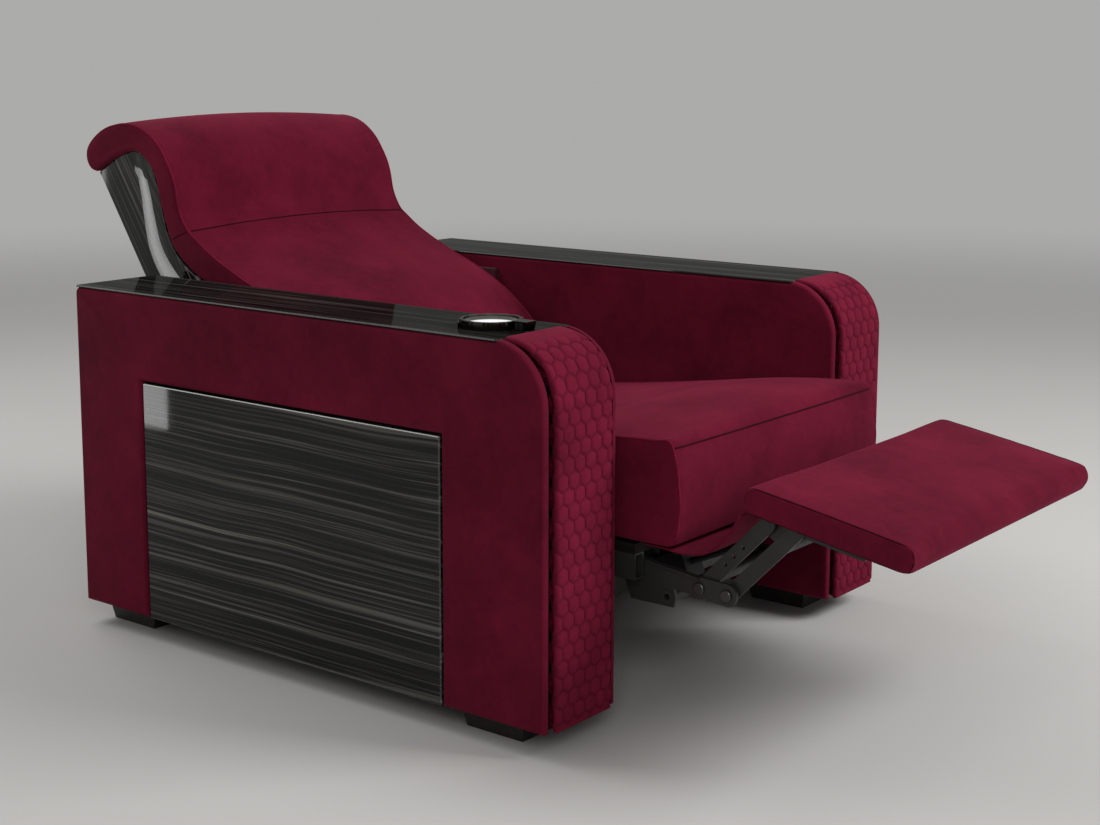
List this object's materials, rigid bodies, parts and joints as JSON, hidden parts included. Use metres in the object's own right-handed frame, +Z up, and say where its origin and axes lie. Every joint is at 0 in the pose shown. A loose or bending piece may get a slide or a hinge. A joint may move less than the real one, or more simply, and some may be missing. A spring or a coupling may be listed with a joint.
{
  "type": "power cinema recliner seat",
  "caption": "Upholstered cinema recliner with wide capped arms, a gliding seat, a reclining winged back and a footrest on folding links.",
  "frame": {"origin": "on the floor under the middle of the whole seat, reclined with its footrest out", "axes": "+X to the sitter's left, -Y to the front, +Z up"},
  "size_m": [1, 1.7661, 0.8938],
  "materials": {
    "velvet": "matt, cut-pile velvet",
    "ebony": "high gloss, straight grain",
    "plywood": "matt",
    "foot": "satin stain",
    "polished_steel": "polished",
    "rubber": "matt",
    "button": "gloss",
    "dark_steel": "satin powder coat",
    "bright_steel": "dark zinc",
    "nylon": "matt",
    "motor": "matt",
    "webbing": "matt woven"
  },
  "bodies": {
    "base": {"arm_frame_left": "plywood", "arm_outer_pad_left": "velvet", "arm_inner_pad_left": "velvet", "arm_nose_quilt_left": "velvet", "arm_rear_pad_left": "velvet", "arm_cap_left": "ebony", "side_panel_left": "ebony", "feet_left": "foot", "arm_frame_right": "plywood", "arm_outer_pad_right": "velvet", "arm_inner_pad_right": "velvet", "arm_nose_quilt_right": "velvet", "arm_rear_pad_right": "velvet", "arm_cap_right": "ebony", "side_panel_right": "ebony", "feet_right": "foot", "cup_holder_ring": "polished_steel", "cup_holder_liner": "polished_steel", "cup_holder_mat": "rubber", "control_housing": "polished_steel", "slide_channels": "dark_steel", "recline_tracks": "nylon", "base_cross_tubes": "dark_steel", "recline_motor": "motor", "recline_screw": "bright_steel"},
    "seat": {"seat_rail_left": "dark_steel", "seat_rail_right": "dark_steel", "seat_cross_rails": "dark_steel", "seat_deck": "plywood", "seat_webbing": "webbing", "pivot_plates": "dark_steel", "hinge_ears": "dark_steel", "seat_glides": "nylon", "seat_pivot_pins": "bright_steel", "recline_nut": "nylon", "footrest_motor": "motor", "seat_cushion": "velvet", "footrest_flap": "velvet"},
    "back": {"back_board_left": "plywood", "back_board_right": "plywood", "back_shell_left": "ebony", "back_shell_right": "ebony", "back_cross_rails": "plywood", "back_panel": "ebony", "back_webbing": "webbing", "track_rollers": "nylon", "back_cushion": "velvet", "head_cushion": "velvet"},
    "footrest_bar": {"footrest_bar_left": "dark_steel", "footrest_bar_right": "dark_steel", "drive_crossbar": "dark_steel", "link_bolts": "bright_steel"},
    "rear_link": {"rear_links": "dark_steel"},
    "front_link": {"front_links": "dark_steel"},
    "footrest": {"footrest_brackets": "dark_steel", "footrest_board": "plywood", "footrest_pad": "velvet"},
    "drive_nut": {"drive_nut": "nylon"},
    "open_key": {"open_button": "button"},
    "close_key": {"close_button": "button"}
  },
  "joints": [
    {"name": "seat_glide", "type": "slide", "parent": "base", "child": "seat", "axis": [0, 1, 0], "range_m": [0, 0.1]},
    {"name": "back_recline", "type": "hinge", "parent": "seat", "child": "back", "pos_m": [0, 0.17964, 0.4], "axis": [1, 0, 0], "range_deg": [0, 33]},
    {"name": "footrest_fold", "type": "hinge", "parent": "seat", "child": "footrest_bar", "pos_m": [0, -0.37736, 0.2454], "axis": [1, 0, 0], "range_deg": [0, 80], "deforming": ["footrest_flap"]},
    {"name": "rear_link_turn", "type": "hinge", "parent": "footrest_bar", "child": "rear_link", "pos_m": [0, -0.51736, 0.229], "axis": [1, 0, 0], "range_deg": [-106, 0]},
    {"name": "front_link_turn", "type": "hinge", "parent": "footrest_bar", "child": "front_link", "pos_m": [0, -0.56429, 0.22654], "axis": [1, 0, 0], "range_deg": [-106, 0]},
    {"name": "footrest_turn", "type": "hinge", "parent": "rear_link", "child": "footrest", "pos_m": [0, -0.62711, 0.34266], "axis": [1, 0, 0], "range_deg": [0, 106]},
    {"name": "drive_nut_slide", "type": "slide", "parent": "seat", "child": "drive_nut", "axis": [0, 0.9132, -0.4075], "range_m": [0, 0.07552]},
    {"name": "open_press", "type": "slide", "parent": "base", "child": "open_key", "axis": [1, 0, 0], "range_m": [0, 0.0012], "stiffness_N_per_m": 900},
    {"name": "close_press", "type": "slide", "parent": "base", "child": "close_key", "axis": [1, 0, 0], "range_m": [0, 0.0012], "stiffness_N_per_m": 900}
  ],
  "couplings": [
    {"joint": "back_recline", "follows": "seat_glide", "rad_per_m": 5.7596},
    {"joint": "rear_link_turn", "follows": "footrest_fold", "ratio": -1.325},
    {"joint": "front_link_turn", "follows": "footrest_fold", "ratio": -1.325},
    {"joint": "footrest_turn", "follows": "footrest_fold", "ratio": 1.325},
    {"joint": "drive_nut_slide", "follows": "footrest_fold", "m_per_rad": 0.054087}
  ]
}
